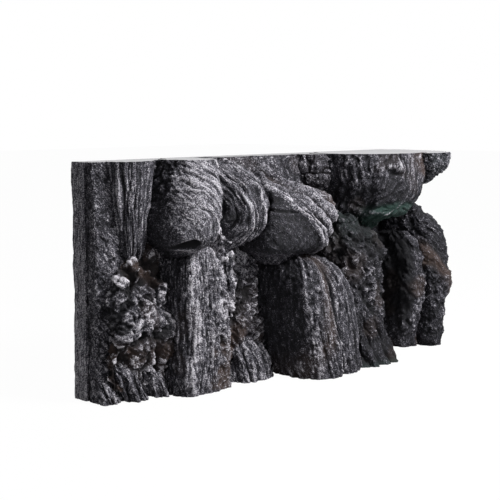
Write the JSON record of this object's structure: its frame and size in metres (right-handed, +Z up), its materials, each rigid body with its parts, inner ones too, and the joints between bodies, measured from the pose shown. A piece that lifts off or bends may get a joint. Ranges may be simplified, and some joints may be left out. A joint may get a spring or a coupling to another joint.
{
  "type": "aquarium rock terrace with caves",
  "caption": "Flat-backed aquarium terrace: bonded resin rock castings with hanging boulders, pillars, rubble, a ledge and an open cave under a flat top.",
  "frame": {"origin": "centre of the flat base, midway along the wall and midway between the back face and the foremost rock", "axes": "+X along the wall, to the right seen from the front; +Y towards the flat back, so the rocks face -Y; +Z up"},
  "size_m": [0.5, 0.1374, 0.24],
  "materials": {
    "charcoal_resin": "matt cast polyurethane resin, charcoal wash",
    "dry_brushed_resin": "matt cast polyurethane resin, grey with a white dry-brushed grain",
    "rubble_resin": "matt cast polyurethane resin, knobbly, white on the knobs",
    "umber_resin": "matt cast polyurethane resin, charcoal with umber patches"
  },
  "bodies": {
    "root": {"back_panel": "charcoal_resin", "left_wall": "charcoal_resin", "upper_wall": "umber_resin", "cave_wall": "charcoal_resin", "overhang_boulder": "dry_brushed_resin", "folded_rock": "dry_brushed_resin", "centre_boulder": "charcoal_resin", "terrace_ledge": "umber_resin", "ledge_tip": "charcoal_resin", "ledge_shoulder": "umber_resin", "left_pillar": "dry_brushed_resin", "centre_pillar": "charcoal_resin", "right_pillar_front": "umber_resin", "right_pillar_back": "charcoal_resin", "hanging_column": "dry_brushed_resin", "knob_stack": "rubble_resin", "foot_outer": "dry_brushed_resin", "foot_middle": "dry_brushed_resin", "foot_inner": "dry_brushed_resin", "centre_foot": "dry_brushed_resin", "left_rubble": "rubble_resin", "centre_rubble": "rubble_resin", "right_rubble": "rubble_resin"}
  },
  "joints": []
}
